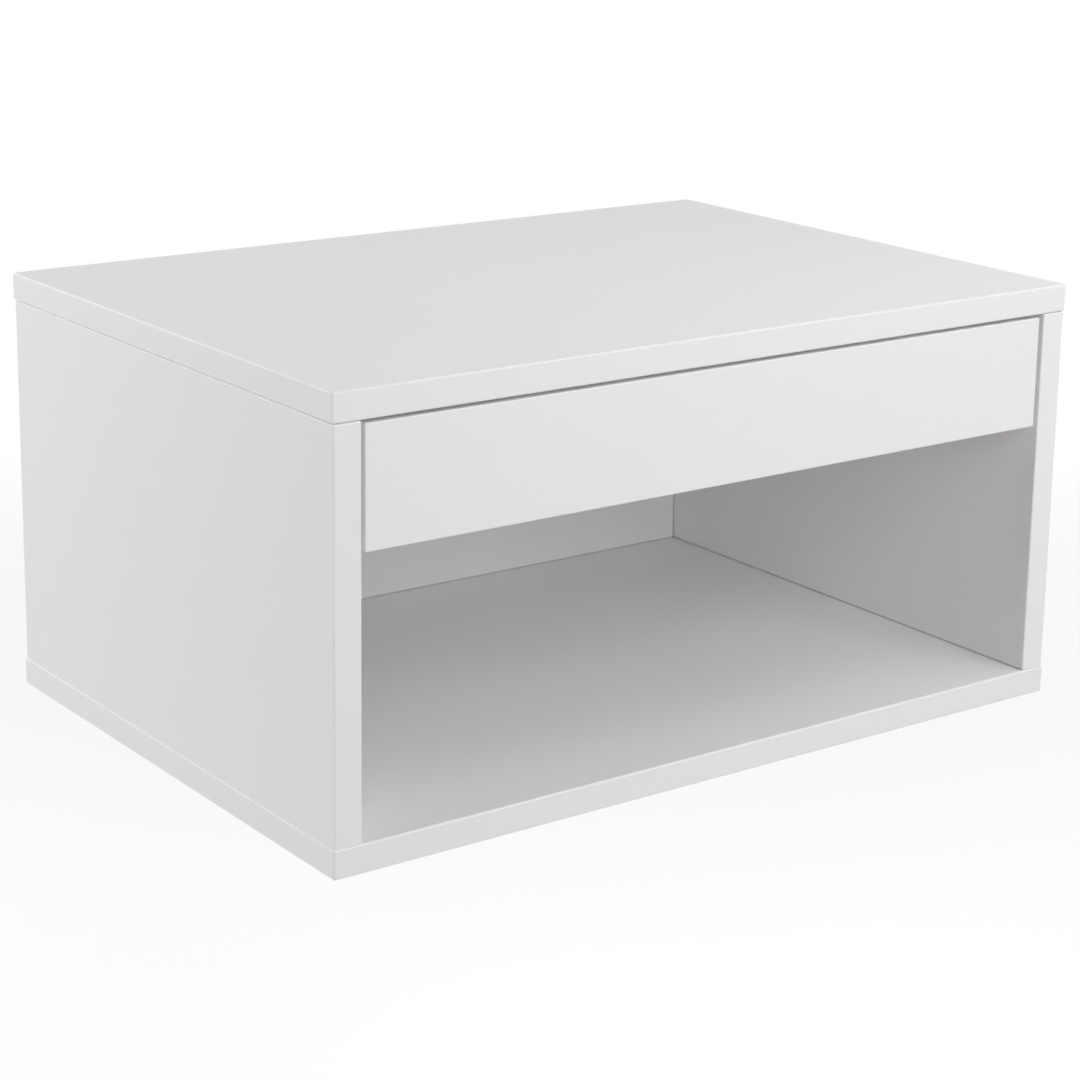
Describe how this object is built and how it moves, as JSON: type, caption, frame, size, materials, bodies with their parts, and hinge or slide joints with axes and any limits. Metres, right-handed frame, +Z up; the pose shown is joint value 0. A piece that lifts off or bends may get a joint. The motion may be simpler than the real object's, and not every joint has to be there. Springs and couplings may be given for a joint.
{
  "type": "floating nightstand",
  "caption": "Wall-hung nightstand with an inset handle-less drawer on ball-bearing runners over an open shelf.",
  "frame": {"origin": "middle of the underside of the bottom panel", "axes": "+X to the right as seen from the front, +Y from the front to the wall, +Z up"},
  "size_m": [0.5, 0.35, 0.25],
  "materials": {
    "white_lacquer": "satin lacquer on board",
    "birch": "clear matt lacquer on plywood",
    "liner": "matt faced hardboard",
    "zinc_plated_steel": "zinc plated",
    "cast_zinc": "bare casting",
    "beech": "bare",
    "cap_plastic": "matt"
  },
  "bodies": {
    "cabinet": {"top_panel": "white_lacquer", "bottom_panel": "white_lacquer", "left_side_panel": "white_lacquer", "right_side_panel": "white_lacquer", "back_panel": "white_lacquer", "left_front_cam_lock": "cast_zinc", "left_rear_cam_lock": "cast_zinc", "right_front_cam_lock": "cast_zinc", "right_rear_cam_lock": "cast_zinc", "left_front_cam_bolt": "zinc_plated_steel", "left_rear_cam_bolt": "zinc_plated_steel", "right_front_cam_bolt": "zinc_plated_steel", "right_rear_cam_bolt": "zinc_plated_steel", "left_front_floor_screw": "zinc_plated_steel", "left_rear_floor_screw": "zinc_plated_steel", "right_front_floor_screw": "zinc_plated_steel", "right_rear_floor_screw": "zinc_plated_steel", "left_front_floor_cap": "cap_plastic", "left_rear_floor_cap": "cap_plastic", "right_front_floor_cap": "cap_plastic", "right_rear_floor_cap": "cap_plastic", "left_top_dowel": "beech", "left_bottom_dowel": "beech", "left_lower_back_dowel": "beech", "left_upper_back_dowel": "beech", "right_top_dowel": "beech", "right_bottom_dowel": "beech", "right_lower_back_dowel": "beech", "right_upper_back_dowel": "beech", "left_hanger_plate": "zinc_plated_steel", "right_hanger_plate": "zinc_plated_steel", "left_lower_hanger_screw": "zinc_plated_steel", "left_upper_hanger_screw": "zinc_plated_steel", "right_lower_hanger_screw": "zinc_plated_steel", "right_upper_hanger_screw": "zinc_plated_steel", "left_cabinet_rail": "zinc_plated_steel", "right_cabinet_rail": "zinc_plated_steel", "left_front_cabinet_rail_screw": "zinc_plated_steel", "left_rear_cabinet_rail_screw": "zinc_plated_steel", "right_front_cabinet_rail_screw": "zinc_plated_steel", "right_rear_cabinet_rail_screw": "zinc_plated_steel"},
    "drawer": {"drawer_front": "white_lacquer", "drawer_inner_front": "birch", "drawer_left_side": "birch", "drawer_right_side": "birch", "drawer_back": "birch", "drawer_bottom": "liner", "left_drawer_rail": "zinc_plated_steel", "right_drawer_rail": "zinc_plated_steel", "left_front_drawer_rail_screw": "zinc_plated_steel", "left_rear_drawer_rail_screw": "zinc_plated_steel", "right_front_drawer_rail_screw": "zinc_plated_steel", "right_rear_drawer_rail_screw": "zinc_plated_steel", "left_front_screw": "zinc_plated_steel", "right_front_screw": "zinc_plated_steel"},
    "left_cage": {"left_ball_cage": "cast_zinc"},
    "right_cage": {"right_ball_cage": "cast_zinc"}
  },
  "joints": [
    {"name": "drawer_slide", "type": "slide", "parent": "cabinet", "child": "drawer", "axis": [0, -1, 0], "range_m": [0, 0.225]},
    {"name": "left_cage_slide", "type": "slide", "parent": "cabinet", "child": "left_cage", "axis": [0, -1, 0], "range_m": [0, 0.1125]},
    {"name": "right_cage_slide", "type": "slide", "parent": "cabinet", "child": "right_cage", "axis": [0, -1, 0], "range_m": [0, 0.1125]}
  ],
  "couplings": [
    {"joint": "left_cage_slide", "follows": "drawer_slide", "ratio": 0.5},
    {"joint": "right_cage_slide", "follows": "drawer_slide", "ratio": 0.5}
  ]
}
